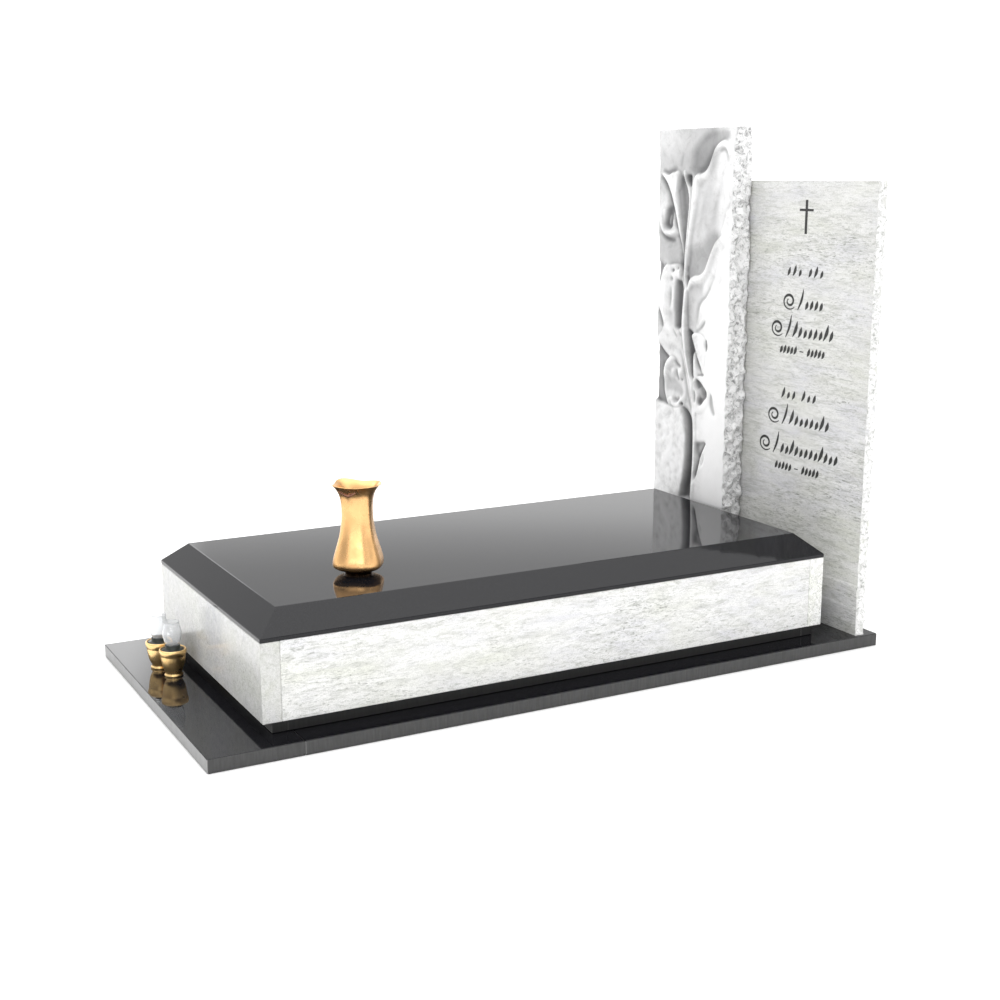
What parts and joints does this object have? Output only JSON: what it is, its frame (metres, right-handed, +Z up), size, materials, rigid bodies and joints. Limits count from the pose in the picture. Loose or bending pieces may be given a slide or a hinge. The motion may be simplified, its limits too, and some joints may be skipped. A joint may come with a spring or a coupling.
{
  "type": "headstone",
  "caption": "Single-grave monument: a tall lily-carved slab and a lower inscription slab behind a chamfered ledger on a kerb and base plate, with vase and lanterns.",
  "frame": {"origin": "middle of the base plate's underside, on the ground", "axes": "+Z up; the headstones stand at +Y and face -Y, along the grave; +X is the right-hand side when facing the headstones"},
  "size_m": [0.96, 2, 1.478],
  "materials": {
    "black_granite": "mirror-polished black granite",
    "white_granite": "polished white granite with grey streaks",
    "relief_stone": "honed pale stone, carved, rock-faced edges",
    "stroke_paint": "black paint in the cut strokes",
    "vase_bronze": "satin golden bronze",
    "lantern_brass": "polished brass",
    "lantern_black": "black",
    "lantern_glass": "clear glass"
  },
  "bodies": {
    "root": {"base_front_slab": "black_granite", "base_right_slab": "black_granite", "base_left_slab": "black_granite", "base_rear_slab": "black_granite", "plinth_front": "black_granite", "plinth_right": "black_granite", "plinth_left": "black_granite", "plinth_rear": "black_granite", "ledger": "black_granite", "kerb_front": "white_granite", "kerb_right": "white_granite", "kerb_left": "white_granite", "kerb_rear": "white_granite", "inscription_slab": "white_granite", "relief_slab": "relief_stone", "vase": "vase_bronze", "lantern_left_pot": "lantern_brass", "lantern_left_collar": "lantern_black", "lantern_left_glass": "lantern_glass", "lantern_right_pot": "lantern_brass", "lantern_right_collar": "lantern_black", "lantern_right_glass": "lantern_glass"}
  },
  "joints": []
}
